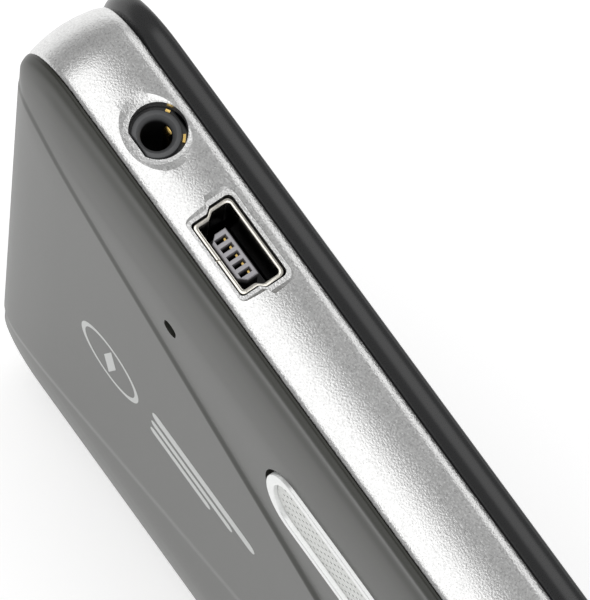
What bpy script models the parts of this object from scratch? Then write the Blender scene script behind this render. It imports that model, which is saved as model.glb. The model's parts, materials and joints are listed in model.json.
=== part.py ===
# Slim hand-held satellite navigator, 5-inch class, standing on its lower long edge.
#
# Frame: X runs along the long edges, Z is up towards the edge with the sockets,
# the screen faces -Y and the back cover faces +Y. The origin is under the middle
# of the lower edge. All dimensions below are millimetres and are scaled by MM.

import bpy
import bmesh
import math
from mathutils import Vector, Matrix

MM = 0.001

# ---------------------------------------------------------------- dimensions
LENGTH = 134.0          # over the metal band
HEIGHT = 84.0           # over the metal band
HALF_X = LENGTH / 2
MID_Z = HEIGHT / 2

BAND_BACK = 3.25        # Y of the band's rear edge
BAND_FRONT = -3.40      # Y of the band's front edge
BAND_LIP = 0.30         # the band's rear edge rolls inwards this much further back
BAND_INNER = 1.35       # depth of the band's inner face below its crown
CORNER_R = 6.45         # corner radius of the band at its crown

COVER_LIFT = 2.45       # height of the back cover's flat above the band
COVER_WALL = 1.1
RELIEF = 0.25           # the upper and lower facets lie this much below the flat
CREASE_TOP = (42.3, 0.495)     # Z at X = 0, and rise per mm of |X|
CREASE_LOW = (37.2, -0.396)

BEZEL_BACK = -3.46
BEZEL_FRONT = -5.70
WINDOW = (110.7, 62.3)

USB_X = 42.90
USB_BACK = 2.13         # Y of the receptacle's narrow side
USB_FACE = 83.45        # Z of the shell's rim
CONTACT_PITCH = 0.8

JACK_X = 54.15
JACK_Y = -0.04
JACK_FACE = 83.15
HOLE_Y = -0.19          # the clearance hole sits a little nearer the screen
DISH_Y = 0.0

RESET_X, RESET_Z = 43.57, 69.30

GRILLE_X = 29.80        # half length of the silver grille frame
GRILLE_Z = 66.05
GRILLE_H = 4.95         # half height
GRILLE_END = 3.2        # depth of its rounded ends
GRILLE_FACE = 5.68

POWER_X, POWER_Y = -52.0, 0.25
POWER_TRAVEL = 0.3
CARD_X, CARD_Y = -37.0, 1.35
CARD_TRAVEL = 16.0

BOARD_FRONT, BOARD_BACK = 2.30, 3.10
CHASSIS_FRONT, CHASSIS_BACK = -2.60, -2.20

# ---------------------------------------------------------------- scene
for old in list(bpy.data.objects):
    bpy.data.objects.remove(old, do_unlink=True)

parts = bpy.data.collections.new("navigator")
cutters = bpy.data.collections.new("cutters")
bpy.context.scene.collection.children.link(parts)
bpy.context.scene.collection.children.link(cutters)


def material(name, rgb, roughness, metallic=0.0):
    mat = bpy.data.materials.new(name)
    mat.use_nodes = True
    bsdf = mat.node_tree.nodes["Principled BSDF"]
    bsdf.inputs["Base Color"].default_value = (rgb[0], rgb[1], rgb[2], 1.0)
    bsdf.inputs["Roughness"].default_value = roughness
    bsdf.inputs["Metallic"].default_value = metallic
    return mat


MAT = {
    "soft_touch": lambda n: material(n, (0.045, 0.045, 0.042), 0.55),
    "satin_metal": lambda n: material(n, (0.66, 0.66, 0.65), 0.38, 1.0),
    "bezel_plastic": lambda n: material(n, (0.035, 0.036, 0.038), 0.35),
    "glass": lambda n: material(n, (0.02, 0.02, 0.022), 0.06),
    "nickel": lambda n: material(n, (0.72, 0.68, 0.60), 0.22, 1.0),
    "gold": lambda n: material(n, (0.85, 0.62, 0.22), 0.25, 1.0),
    "steel": lambda n: material(n, (0.55, 0.55, 0.54), 0.35, 1.0),
    "black_plastic": lambda n: material(n, (0.02, 0.02, 0.02), 0.5),
    "grey_plastic": lambda n: material(n, (0.22, 0.22, 0.23), 0.5),
    "jack_plastic": lambda n: material(n, (0.11, 0.11, 0.11), 0.4),
    "board": lambda n: material(n, (0.02, 0.16, 0.07), 0.45),
    "chip": lambda n: material(n, (0.025, 0.025, 0.027), 0.6),
    "silver_plastic": lambda n: material(n, (0.70, 0.71, 0.70), 0.3, 0.6),
    "mesh": lambda n: material(n, (0.60, 0.61, 0.59), 0.4, 0.8),
    "foam": lambda n: material(n, (0.03, 0.03, 0.03), 0.95),
    "pouch": lambda n: material(n, (0.62, 0.63, 0.64), 0.35, 0.8),
    "ceramic": lambda n: material(n, (0.55, 0.50, 0.42), 0.5),
    "copper": lambda n: material(n, (0.70, 0.33, 0.18), 0.35, 1.0),
    "red_wire": lambda n: material(n, (0.55, 0.03, 0.02), 0.5),
    "black_wire": lambda n: material(n, (0.02, 0.02, 0.02), 0.5),
    "flex": lambda n: material(n, (0.62, 0.33, 0.06), 0.4),
    "paper_cone": lambda n: material(n, (0.05, 0.05, 0.05), 0.8),
    "magnet": lambda n: material(n, (0.35, 0.35, 0.36), 0.3, 1.0),
    "brass": lambda n: material(n, (0.72, 0.55, 0.25), 0.35, 1.0),
    "white_plastic": lambda n: material(n, (0.75, 0.75, 0.72), 0.5),
}


# ---------------------------------------------------------------- outlines
def rounded_rect(hx, hy, r, n=6, cx=0.0, cy=0.0):
    """Closed outline of a rounded rectangle, counter-clockwise."""
    pts = []
    for qx, qy, a0 in ((1, 1, 0), (-1, 1, 90), (-1, -1, 180), (1, -1, 270)):
        for i in range(n + 1):
            a = math.radians(a0 + 90.0 * i / n)
            pts.append((cx + qx * (hx - r) + r * math.cos(a),
                        cy + qy * (hy - r) + r * math.sin(a)))
    return pts


def oval_slot(hx, hy, end, n=10, cx=0.0, cy=0.0):
    """Slot whose ends are half ellipses: end deep, hy high."""
    pts = []
    for side in (1, -1):
        for i in range(n + 1):
            a = math.radians(-90 + 180.0 * i / n)
            pts.append((cx + side * (hx - end + end * math.cos(a)),
                        cy + side * hy * math.sin(a)))
    return pts


def d_outline(r, flat, n=32, cx=0.0, cy=0.0):
    """Circle of radius r with a flat at +flat on its second axis."""
    a = math.asin(flat / r)
    pts = []
    for i in range(n + 1):
        t = math.pi - a + (math.pi + 2 * a) * i / n
        pts.append((cx + r * math.cos(t), cy + r * math.sin(t)))
    return pts


def arc_ring(r0, r1, a0, a1, n=10, cx=0.0, cy=0.0):
    out = [(cx + r1 * math.cos(math.radians(a0 + (a1 - a0) * i / n)),
            cy + r1 * math.sin(math.radians(a0 + (a1 - a0) * i / n))) for i in range(n + 1)]
    inn = [(cx + r0 * math.cos(math.radians(a1 - (a1 - a0) * i / n)),
            cy + r0 * math.sin(math.radians(a1 - (a1 - a0) * i / n))) for i in range(n + 1)]
    return out + inn


def mini_b(narrow, wide, grow, r_narrow=0.35, chamfer=0.5):
    """Outline of a mini-B receptacle in (X, Y), narrow side towards +Y.

    narrow and wide are half widths; grow offsets the whole outline outwards."""
    h = 3.9
    y0 = USB_BACK + grow
    y1 = USB_BACK - h - grow
    ym1 = USB_BACK - 1.65 - 0.25 * grow
    ym2 = USB_BACK - 2.15 - 0.10 * grow
    n = narrow + grow
    w = wide + grow
    c = chamfer
    half = [(n - r_narrow, y0), (n - 0.3 * r_narrow, y0 - 0.3 * r_narrow), (n, y0 - r_narrow),
            (n, ym1), (n + 0.25 * (w - n), ym1 - 0.12), (w - 0.12 * (w - n), ym2 + 0.05), (w, ym2 - 0.15),
            (w, y1 + c), (w - 0.3 * c, y1 + 0.3 * c), (w - c, y1)]
    pts = [(USB_X + a, b) for a, b in half] + [(USB_X - a, b) for a, b in reversed(half)]
    return pts[::-1]


# ---------------------------------------------------------------- builders
def add(obj, mat=None, coll=None):
    (coll or parts).objects.link(obj)
    if mat:
        obj.data.materials.append(MAT[mat](obj.name + "_mat"))
    if coll is cutters:
        obj.hide_render = True
        obj.display_type = 'WIRE'
    return obj


def box(name, lo, hi, mat=None, coll=None, bevel=0.0, segments=2):
    """Box between two corners in millimetres, its origin at its centre."""
    lo, hi = Vector(lo) * MM, Vector(hi) * MM
    mesh = bpy.data.meshes.new(name)
    bm = bmesh.new()
    bmesh.ops.create_cube(bm, size=1.0, matrix=Matrix.Diagonal((hi - lo).to_4d().xyz.to_4d()))
    bm.to_mesh(mesh)
    bm.free()
    obj = bpy.data.objects.new(name, mesh)
    obj.location = (lo + hi) / 2
    add(obj, mat, coll)
    if bevel:
        mod = obj.modifiers.new("edges", 'BEVEL')
        mod.width = bevel * MM
        mod.segments = segments
    return obj


def cone(name, r1, r2, length, centre, axis='Z', seg=24, mat=None, coll=None):
    """Cylinder or cone; r1 is at the low end of the axis."""
    mesh = bpy.data.meshes.new(name)
    bm = bmesh.new()
    bmesh.ops.create_cone(bm, cap_ends=True, segments=seg, radius1=r1 * MM, radius2=r2 * MM,
                          depth=length * MM)
    bm.to_mesh(mesh)
    bm.free()
    obj = bpy.data.objects.new(name, mesh)
    if axis == 'Y':
        obj.rotation_euler = (-math.pi / 2, 0, 0)
    elif axis == 'X':
        obj.rotation_euler = (0, math.pi / 2, 0)
    obj.location = Vector(centre) * MM
    add(obj, mat, coll)
    mesh.shade_smooth()
    mesh.set_sharp_from_angle(angle=math.radians(40))
    return obj


def prism(name, outlines, lo, hi, plane='XZ', mat=None, coll=None):
    """Filled flat outline (with holes) extruded between lo and hi.

    plane 'XZ' extrudes along Y, plane 'XY' along Z."""
    cu = bpy.data.curves.new(name, 'CURVE')
    cu.dimensions = '2D'
    cu.fill_mode = 'BOTH'
    cu.extrude = (hi - lo) / 2 * MM
    for pts in outlines:
        sp = cu.splines.new('POLY')
        sp.points.add(len(pts) - 1)
        for p, q in zip(sp.points, pts):
            p.co = (q[0] * MM, q[1] * MM, 0.0, 1.0)
        sp.use_cyclic_u = True
    tmp = bpy.data.objects.new(name + "_curve", cu)
    mid = (lo + hi) / 2 * MM
    if plane == 'XZ':
        tmp.rotation_euler = (math.pi / 2, 0, 0)
        tmp.location = (0, mid, 0)
    else:
        tmp.location = (0, 0, mid)
    return curve_mesh(tmp, name, mat, coll)


def curve_mesh(tmp, name, mat=None, coll=None, weld=1e-7):
    """Turn a curve object into a welded mesh object of the given name."""
    parts.objects.link(tmp)
    bpy.context.view_layer.update()
    dg = bpy.context.evaluated_depsgraph_get()
    mesh = bpy.data.meshes.new_from_object(tmp.evaluated_get(dg))
    mesh.name = name
    world = tmp.matrix_world.copy()
    data = tmp.data
    bpy.data.objects.remove(tmp, do_unlink=True)
    bpy.data.curves.remove(data)
    bm = bmesh.new()
    bm.from_mesh(mesh)
    bmesh.ops.remove_doubles(bm, verts=bm.verts, dist=weld)
    bmesh.ops.dissolve_limit(bm, angle_limit=math.radians(0.5), verts=bm.verts, edges=bm.edges)
    bmesh.ops.recalc_face_normals(bm, faces=bm.faces)
    bm.to_mesh(mesh)
    bm.free()
    mesh.materials.clear()
    obj = bpy.data.objects.new(name, mesh)
    obj.matrix_world = world
    add(obj, mat, coll)
    return obj


def boolean(obj, other, operation='DIFFERENCE', solver='EXACT'):
    mod = obj.modifiers.new(operation.lower(), 'BOOLEAN')
    mod.operation = operation
    mod.solver = solver
    mod.object = other
    return obj


def cut_box(obj, name, lo, hi):
    return boolean(obj, box("cut_" + name, lo, hi, coll=cutters))


def cut_cyl(obj, name, r, length, centre, axis='Y', seg=20):
    return boolean(obj, cone("cut_" + name, r, r, length, centre, axis, seg, coll=cutters))


def cut_prism(obj, name, outlines, lo, hi, plane='XZ'):
    return boolean(obj, prism("cut_" + name, outlines, lo, hi, plane, coll=cutters))


def join(obj, other):
    """Boolean union with a helper body, which is kept with the cutters."""
    return boolean(obj, other, 'UNION')


def lead(name, pts, r, mat):
    """Insulated lead: a tube along a smooth curve through its route's points."""
    route = [Vector(p) for p in pts]
    smooth = []
    for i in range(len(route) - 1):
        p0 = route[max(i - 1, 0)]
        p1, p2 = route[i], route[i + 1]
        p3 = route[min(i + 2, len(route) - 1)]
        for k in range(3):
            t = k / 3.0
            smooth.append(0.5 * ((2 * p1) + (p2 - p0) * t + (2 * p0 - 5 * p1 + 4 * p2 - p3) * t * t
                                 + (3 * p1 - p0 - 3 * p2 + p3) * t ** 3))
    smooth.append(route[-1])
    cu = bpy.data.curves.new(name, 'CURVE')
    cu.dimensions = '3D'
    cu.bevel_depth = r * MM
    cu.bevel_resolution = 1
    cu.use_fill_caps = True
    sp = cu.splines.new('POLY')
    sp.points.add(len(smooth) - 1)
    for p, q in zip(sp.points, smooth):
        p.co = (q[0] * MM, q[1] * MM, q[2] * MM, 1.0)
    tmp = bpy.data.objects.new(name + "_curve", cu)
    obj = curve_mesh(tmp, name, mat)
    obj.data.shade_smooth()
    obj.data.set_sharp_from_angle(angle=math.radians(50))
    return obj


def set_origin(obj, point):
    """Move the object's origin to a point (mm) without moving its mesh."""
    bpy.context.view_layer.update()
    inv = obj.matrix_world.inverted() @ (Vector(point) * MM)
    obj.data.transform(Matrix.Translation(-inv))
    obj.matrix_world = obj.matrix_world @ Matrix.Translation(inv)
    return obj


# ---------------------------------------------------------------- metal band
# The band is one closed section swept around a rounded rectangle. Its outer face
# is gently convex, with a narrow polished chamfer on the screen side.
def band_section():
    yb, yf = BAND_BACK, BAND_FRONT
    crown = [(max(0.0, 0.042 * (y - 3.05) ** 2 - 0.024), yb - y) for y in (0.0, 0.5, 1.3, 2.3, 3.8, 4.7, 5.4, 5.9)]
    return ([(1.00, yb + BAND_LIP), (0.60, yb + 0.22)] + crown +
            [(0.66, yf + 0.06), (0.75, yf), (BAND_INNER, yf), (BAND_INNER, yb + BAND_LIP)])


def swept_ring(name, section, mat):
    mesh = bpy.data.meshes.new(name)
    bm = bmesh.new()
    rings = []
    for d, y in section:
        ring = []
        for x, z in rounded_rect(HALF_X - d, MID_Z - d, CORNER_R - d, n=7):
            ring.append(bm.verts.new((x * MM, y * MM, (z + MID_Z) * MM)))
        rings.append(ring)
    for a, b in zip(rings, rings[1:] + rings[:1]):
        for i in range(len(a)):
            j = (i + 1) % len(a)
            bm.faces.new((a[i], a[j], b[j], b[i]))
    bmesh.ops.recalc_face_normals(bm, faces=bm.faces)
    bm.to_mesh(mesh)
    bm.free()
    mesh.shade_smooth()
    mesh.set_sharp_from_angle(angle=math.radians(25))
    return add(bpy.data.objects.new(name, mesh), mat)


band = swept_ring("metal_band", band_section(), "satin_metal")

# headphone socket: a shallow conical dish, and a clearance hole with a flat
cone("cut_dish", 2.68, 4.55, 0.72, (JACK_X, DISH_Y, HEIGHT - 0.27 + 0.36), 'Z', 40, coll=cutters)
boolean(band, bpy.data.objects["cut_dish"])
cut_prism(band, "jack_hole", [d_outline(2.375, 2.08, 32, JACK_X, HOLE_Y)], 80.0, 86.0, 'XY')

# data socket: a shallow recess that follows its outline, and the hole for its shell
cut_prism(band, "usb_recess", [[(x, min(y, 2.65)) for x, y in mini_b(3.45, 3.85, 0.72, 0.35, 0.5)]],
          HEIGHT - 0.32, 86.0, 'XY')
cut_prism(band, "usb_hole", [mini_b(3.42, 3.85, 0.13)], 80.0, 86.0, 'XY')

# power button and memory card openings
cut_prism(band, "power_hole", [rounded_rect(4.62, 1.32, 1.2, 5, POWER_X, POWER_Y)], 80.0, 86.0, 'XY')
cut_box(band, "card_slot", (CARD_X - 5.9, CARD_Y - 0.75, 80.0), (CARD_X + 5.9, CARD_Y + 0.75, 86.0))


# ---------------------------------------------------------------- back cover
def cover_rings():
    # inset along X, inset along Z, height above the band, corner radius
    return [(0.50, 0.50, 0.36, 6.00), (0.50, 0.50, 0.72, 6.00), (0.72, 0.68, 1.06, 5.85),
            (1.35, 1.25, 1.42, 5.50), (2.60, 3.00, 1.72, 5.20), (4.60, 6.50, 2.06, 5.20),
            (7.50, 11.0, 2.30, 5.20), (11.0, 15.5, COVER_LIFT, 5.20)]


def cover_shell():
    mesh = bpy.data.meshes.new("back_cover")
    bm = bmesh.new()
    rings = []
    skin = cover_rings()
    inside = [(ix, iz, h - COVER_WALL, r) for ix, iz, h, r in skin if ix > 2.0]
    for ix, iz, h, r in skin + inside[::-1] + [(1.60, 1.60, skin[0][2], 4.60)]:
        rings.append([bm.verts.new((x * MM, (BAND_BACK + h) * MM, (z + MID_Z) * MM))
                      for x, z in rounded_rect(HALF_X - ix, MID_Z - iz, r, n=6)])
    top = len(skin) - 1
    for k, a in enumerate(rings):
        b = rings[(k + 1) % len(rings)]
        if k == top:
            continue
        for i in range(len(a)):
            j = (i + 1) % len(a)
            bm.faces.new((a[i], a[j], b[j], b[i]))
    bm.faces.new(rings[top])
    bm.faces.new(rings[top + 1])
    bmesh.ops.recalc_face_normals(bm, faces=bm.faces)
    bm.to_mesh(mesh)
    bm.free()
    mesh.shade_smooth()
    mesh.set_sharp_from_angle(angle=math.radians(35))
    return add(bpy.data.objects.new("back_cover", mesh), "soft_touch")


cover = cover_shell()

# clips that tuck inside the band
for i, (x, z, hx, hz) in enumerate(((-48, 1.95, 3, .45), (0, 1.95, 3, .45), (48, 1.95, 3, .45),
                                   (-65.1, 28, .45, 3), (65.1, 28, .45, 3))):
    boolean(cover, box("clip_%d" % i, (x - hx, 2.3, z - hz), (x + hx, 4.25, z + hz), coll=cutters), 'UNION', 'MANIFOLD')

# the upper and lower facets lie a little below the two flat side triangles
flat_y = BAND_BACK + COVER_LIFT
for tag, (z0, slope), zfar in (("upper", CREASE_TOP, 90.0), ("lower", CREASE_LOW, -6.0)):
    cut_prism(cover, "facet_" + tag,
              [[(-70.0, z0 + slope * 70.0), (0.0, z0), (70.0, z0 + slope * 70.0), (70.0, zfar), (-70.0, zfar)]],
              flat_y - RELIEF, flat_y + 2.0)

cut_prism(cover, "pinhole", [rounded_rect(0.76, 1.02, 0.74, 5, RESET_X, RESET_Z)], 2.0, 8.0)
cut_prism(cover, "grille_slot", [oval_slot(GRILLE_X + 0.42, GRILLE_H + 0.08, GRILLE_END + 0.30, 12, 0, GRILLE_Z)],
          2.0, 8.0)


# ---------------------------------------------------------------- front bezel
bezel = prism("front_bezel", [rounded_rect(HALF_X, MID_Z, 7.6, 8, 0, MID_Z)],
              BEZEL_FRONT, BEZEL_BACK, mat="bezel_plastic")
mod = bezel.modifiers.new("edge", 'BEVEL')
mod.width = 0.45 * MM
mod.segments = 2
mod.limit_method = 'ANGLE'
mod.angle_limit = math.radians(60)
cut_prism(bezel, "display_pocket", [rounded_rect(59.6, 36.4, 0.8, 3, 0, MID_Z)], -5.0, -3.0)
cut_prism(bezel, "window", [rounded_rect(WINDOW[0] / 2, WINDOW[1] / 2, 0.8, 3, 0, MID_Z)], -6.5, -4.0)
BEZEL_SCREWS = [(-62.2, 5.4), (62.2, 5.4), (-62.2, 78.6), (62.2, 78.6)]
for i, (x, z) in enumerate(BEZEL_SCREWS):
    join(bezel, cone("bezel_boss_%d" % (i + 1), 1.7, 1.7, 1.7, (x, -3.50, z), 'Y', 16, coll=cutters))
    cut_cyl(bezel, "bezel_pilot_%d" % (i + 1), 0.65, 3.2, (x, -3.35, z), 'Y', 12)

# ---------------------------------------------------------------- screen stack
box("touch_panel", (-59.3, -4.95, MID_Z - 36.1), (59.3, -4.15, MID_Z + 36.1), "glass")
box("display_module", (-59.0, -4.10, MID_Z - 36.0), (59.0, -2.65, MID_Z + 36.0), "black_plastic", bevel=0.2)

# ---------------------------------------------------------------- chassis plate
BOARD_SCREWS = [(59.2, 28.0), (34.0, 28.0), (59.6, 64.0), (-59.6, 76.2)]
chassis = prism("chassis_plate",
                [rounded_rect(64.6, 39.6, 4.0, 4, 0, MID_Z)], CHASSIS_FRONT, CHASSIS_BACK, mat="steel")
cut_box(chassis, "jack_notch", (JACK_X - 3.4, -3.2, 71.0), (JACK_X + 3.4, -1.5, 90.0))
cut_box(chassis, "flex_notch", (38.0, -3.2, -2.0), (56.0, -1.5, 7.5))
for i, (x, z) in enumerate(BEZEL_SCREWS):
    cut_cyl(chassis, "chassis_hole_%d" % (i + 1), 0.75, 2.0, (x, -2.4, z), 'Y', 12)
for i, (x, z) in enumerate(BOARD_SCREWS):
    join(chassis, cone("standoff_%d" % (i + 1), 1.5, 1.5, 4.6, (x, -0.1, z), 'Y', 16, coll=cutters))
    cut_cyl(chassis, "standoff_bore_%d" % (i + 1), 0.65, 4.0, (x, 0.6, z), 'Y', 12)

# ---------------------------------------------------------------- main board
board = prism("main_board",
              [[(30.5, 24.0), (62.4, 24.0), (62.4, 75.0), (60.4, 75.0), (60.4, 80.6), (-62.0, 80.6), (-62.0, 73.6),
                (30.5, 73.6)]],
              BOARD_FRONT, BOARD_BACK, mat="board")
for i, (x, z) in enumerate(BOARD_SCREWS):
    cut_cyl(board, "board_hole_%d" % (i + 1), 0.75, 2.0, (x, 2.7, z), 'Y', 12)


def screw(name, x, z, head_y, tip_y, head_r=1.25, head_t=0.6, r=0.55):
    """Pan-head machine screw turned about its own axis, with a cross recess."""
    mesh = bpy.data.meshes.new(name)
    bm = bmesh.new()
    y0, y1 = tip_y, head_y
    prof = [(0.0, y1 + head_t), (head_r * 0.55, y1 + head_t), (head_r * 0.9, y1 + head_t * 0.6), (head_r, y1),
            (r, y1), (r, y0 + 0.3), (r * 0.6, y0), (0.0, y0)]
    verts = [bm.verts.new((a * MM, 0, b * MM)) for a, b in prof]
    for a, b in zip(verts, verts[1:]):
        bm.edges.new((a, b))
    bm.to_mesh(mesh)
    bm.free()
    obj = bpy.data.objects.new(name, mesh)
    obj.rotation_euler = (-math.pi / 2, 0, 0)
    obj.location = (x * MM, 0, z * MM)
    add(obj, "steel")
    m = obj.modifiers.new("turn", 'SCREW')
    m.steps = 16
    m.render_steps = 16
    m.use_merge_vertices = True
    m.merge_threshold = 1e-6
    m.use_smooth_shade = True
    for k, (a, b) in enumerate(((0.75, 0.14), (0.14, 0.75))):
        cut_box(obj, "%s_slot_%d" % (name, k), (x - a, y1 + head_t - 0.3, z - b), (x + a, y1 + head_t + 0.5, z + b))
    return obj


for i, (x, z) in enumerate(BOARD_SCREWS):
    screw("board_screw_%d" % (i + 1), x, z, BOARD_BACK + 0.05, -1.0)
for i, (x, z) in enumerate(BEZEL_SCREWS):
    screw("bezel_screw_%d" % (i + 1), x, z, CHASSIS_BACK + 0.05, -4.75)

# ---------------------------------------------------------------- board parts
can = box("shield_can", (34.0, 0.50, 34.0), (56.0, 2.22, 56.0), "steel")
cut_box(can, "can_inside", (34.25, 0.75, 34.25), (55.75, 3.0, 55.75))
box("processor", (38.0, 1.10, 39.0), (50.0, 2.22, 51.0), "chip", bevel=0.1, segments=1)
box("memory_chip", (34.0, 1.30, 58.5), (45.0, 2.22, 66.5), "chip", bevel=0.1, segments=1)
box("storage_chip", (47.0, 1.30, 58.5), (57.0, 2.22, 67.5), "chip", bevel=0.1, segments=1)
box("receiver_module", (37.0, 3.16, 44.0), (47.0, 3.95, 54.0), "steel", bevel=0.1, segments=1)
box("display_connector", (39.0, 1.20, 26.2), (55.0, 2.22, 29.4), "white_plastic", bevel=0.1, segments=1)
box("battery_connector", (31.2, 0.90, 68.6), (35.6, 2.22, 72.6), "white_plastic", bevel=0.1, segments=1)


def ribbon(name, path, x0, x1, t, mat):
    """Flat flexible lead: an open strip between two X values, given thickness."""
    mesh = bpy.data.meshes.new(name)
    bm = bmesh.new()
    a = [bm.verts.new((x0 * MM, y * MM, z * MM)) for y, z in path]
    b = [bm.verts.new((x1 * MM, y * MM, z * MM)) for y, z in path]
    for i in range(len(path) - 1):
        bm.faces.new((a[i], a[i + 1], b[i + 1], b[i]))
    bm.to_mesh(mesh)
    bm.free()
    obj = add(bpy.data.objects.new(name, mesh), mat)
    m = obj.modifiers.new("thickness", 'SOLIDIFY')
    m.thickness = t * MM
    m.offset = 0.0
    m.use_even_offset = True
    return obj


ribbon("display_flex", [(-3.1, 5.8), (-3.1, 5.1), (-2.85, 4.5), (-2.2, 4.2), (-1.5, 4.5), (-1.2, 5.2), (-1.2, 20.0),
                        (-0.9, 22.0), (0.9, 24.2), (1.6, 25.2), (1.75, 26.1)], 41.0, 53.0, 0.12, "flex")

# ---------------------------------------------------------------- battery
box("battery", (-36.0, -1.90, 8.0), (24.0, 2.60, 56.0), "pouch", bevel=0.8, segments=3)
box("battery_pad", (-33.0, -2.14, 11.0), (21.0, -1.95, 53.0), "foam")
lead("battery_lead_red", [(20.5, 1.2, 56.3), (20.7, 1.25, 57.8), (23.5, 1.4, 60.5), (27.0, 1.5, 64.5), (28.6, 1.5, 69.0),
                          (30.0, 1.5, 71.2), (31.1, 1.5, 71.5)], 0.45, "red_wire")
lead("battery_lead_black", [(18.0, 1.1, 56.3), (18.2, 0.8, 57.8), (22.5, 0.0, 60.0), (27.0, 0.2, 62.5), (29.3, 0.9, 66.5),
                            (30.2, 1.4, 69.4), (31.1, 1.5, 69.7)], 0.45, "black_wire")

# ---------------------------------------------------------------- receiver antenna
ant = box("patch_antenna", (-60.0, -1.60, 48.0), (-42.0, 2.40, 66.0), "ceramic", bevel=0.3, segments=1)
lead("antenna_lead", [(-50.0, -1.0, 66.3), (-49.8, -0.95, 68.4), (-47.5, -0.6, 70.8), (-44.0, -0.4, 71.6),
                      (-30.0, -0.4, 72.6), (-26.5, 0.2, 74.2), (-24.4, 1.2, 75.6), (-23.2, 1.6, 77.0)], 0.4, "black_wire")
box("antenna_plug", (-24.4, 1.05, 77.3), (-21.6, 2.22, 79.6), "brass", bevel=0.1, segments=1)

# ---------------------------------------------------------------- loudspeaker
SPK_X, SPK_Z = 0.0, 66.0
prism("speaker_frame", [oval_slot(21.0, 6.6, 6.6, 10, SPK_X, SPK_Z), oval_slot(17.6, 4.9, 4.9, 10, SPK_X, SPK_Z)],
      1.65, 3.40, mat="black_plastic")
prism("speaker_gasket", [oval_slot(20.6, 6.2, 6.2, 10, SPK_X, SPK_Z), oval_slot(18.6, 5.2, 5.2, 10, SPK_X, SPK_Z)],
      3.46, 3.90, mat="foam")
diaphragm = prism("speaker_cone", [oval_slot(17.3, 4.6, 4.6, 10, SPK_X, SPK_Z)], 2.62, 2.90, mat="paper_cone")
join(diaphragm, cone("cone_dome", 3.4, 1.6, 0.5, (SPK_X, 3.10, SPK_Z), 'Y', 20, coll=cutters))
set_origin(diaphragm, (SPK_X, 2.62, SPK_Z))
coil = prism("voice_coil", [[(SPK_X + 4.1 * math.cos(2 * math.pi * i / 24), SPK_Z + 4.1 * math.sin(2 * math.pi * i / 24))
                             for i in range(24)],
                            [(SPK_X + 3.75 * math.cos(2 * math.pi * i / 24), SPK_Z + 3.75 * math.sin(2 * math.pi * i / 24))
                             for i in range(24)]], 0.55, 2.57, mat="copper")
set_origin(coil, (SPK_X, 2.57, SPK_Z))
cone("speaker_magnet", 3.45, 3.45, 1.55, (SPK_X, 0.52, SPK_Z), 'Y', 24, "magnet")
yoke = cone("speaker_yoke", 5.6, 5.6, 3.0, (SPK_X, 0.10, SPK_Z), 'Y', 28, "steel")
cut_cyl(yoke, "yoke_gap", 4.45, 3.0, (SPK_X, 1.20, SPK_Z), 'Y', 24)
lead("speaker_lead_red", [(21.3, 2.9, 67.0), (22.6, 2.9, 67.6), (25.0, 2.2, 69.8), (27.5, 1.5, 72.4), (29.0, 1.3, 75.3),
                          (30.9, 1.4, 76.6)], 0.3, "red_wire")
lead("speaker_lead_black", [(21.3, 2.9, 65.2), (22.8, 2.9, 65.9), (25.6, 2.3, 68.4), (28.0, 0.3, 72.8), (29.6, 0.1, 76.5),
                            (30.9, 0.9, 78.6)], 0.3, "black_wire")
box("speaker_connector", (31.0, 0.60, 75.8), (35.0, 2.22, 79.6), "white_plastic", bevel=0.1, segments=1)

# grille: a silver frame standing just proud of the cover, with a metal mesh inside it
frame = prism("grille_frame", [oval_slot(GRILLE_X, GRILLE_H, GRILLE_END, 12, 0, GRILLE_Z),
                               oval_slot(GRILLE_X - 1.0, GRILLE_H - 1.0, GRILLE_END - 0.75, 12, 0, GRILLE_Z)],
              4.00, GRILLE_FACE, mat="silver_plastic")
prism("grille_mesh", [oval_slot(GRILLE_X - 1.06, GRILLE_H - 1.06, GRILLE_END - 0.8, 12, 0, GRILLE_Z)],
      5.00, 5.28, mat="mesh")

# ---------------------------------------------------------------- data socket
shell = prism("usb_shell", [mini_b(3.42, 3.85, 0.0), mini_b(3.42, 3.85, -0.34, 0.2, 0.3)], 75.0, USB_FACE, 'XY',
              "nickel")
ins = box("usb_insulator", (USB_X - 2.9, -1.30, 75.2), (USB_X + 2.9, 1.70, 77.6), "grey_plastic")
join(ins, prism("usb_tongue", [[(USB_X - 2.25, -0.33), (USB_X + 2.25, -0.33), (USB_X + 2.25, 0.70), (USB_X + 1.65, 1.31),
                                (USB_X - 1.65, 1.31), (USB_X - 2.25, 0.70)]], 77.0, 81.9, 'XY', coll=cutters))
for k in range(5):
    x = USB_X + (k - 2) * CONTACT_PITCH
    cut_box(ins, "usb_way_%d" % (k + 1), (x - 0.23, -0.05, 74.0), (x + 0.23, 1.01, 83.0))
    box("usb_contact_%d" % (k + 1), (x - 0.17, 0.0, 74.6), (x + 0.17, 0.22, 81.6), "gold")

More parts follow.
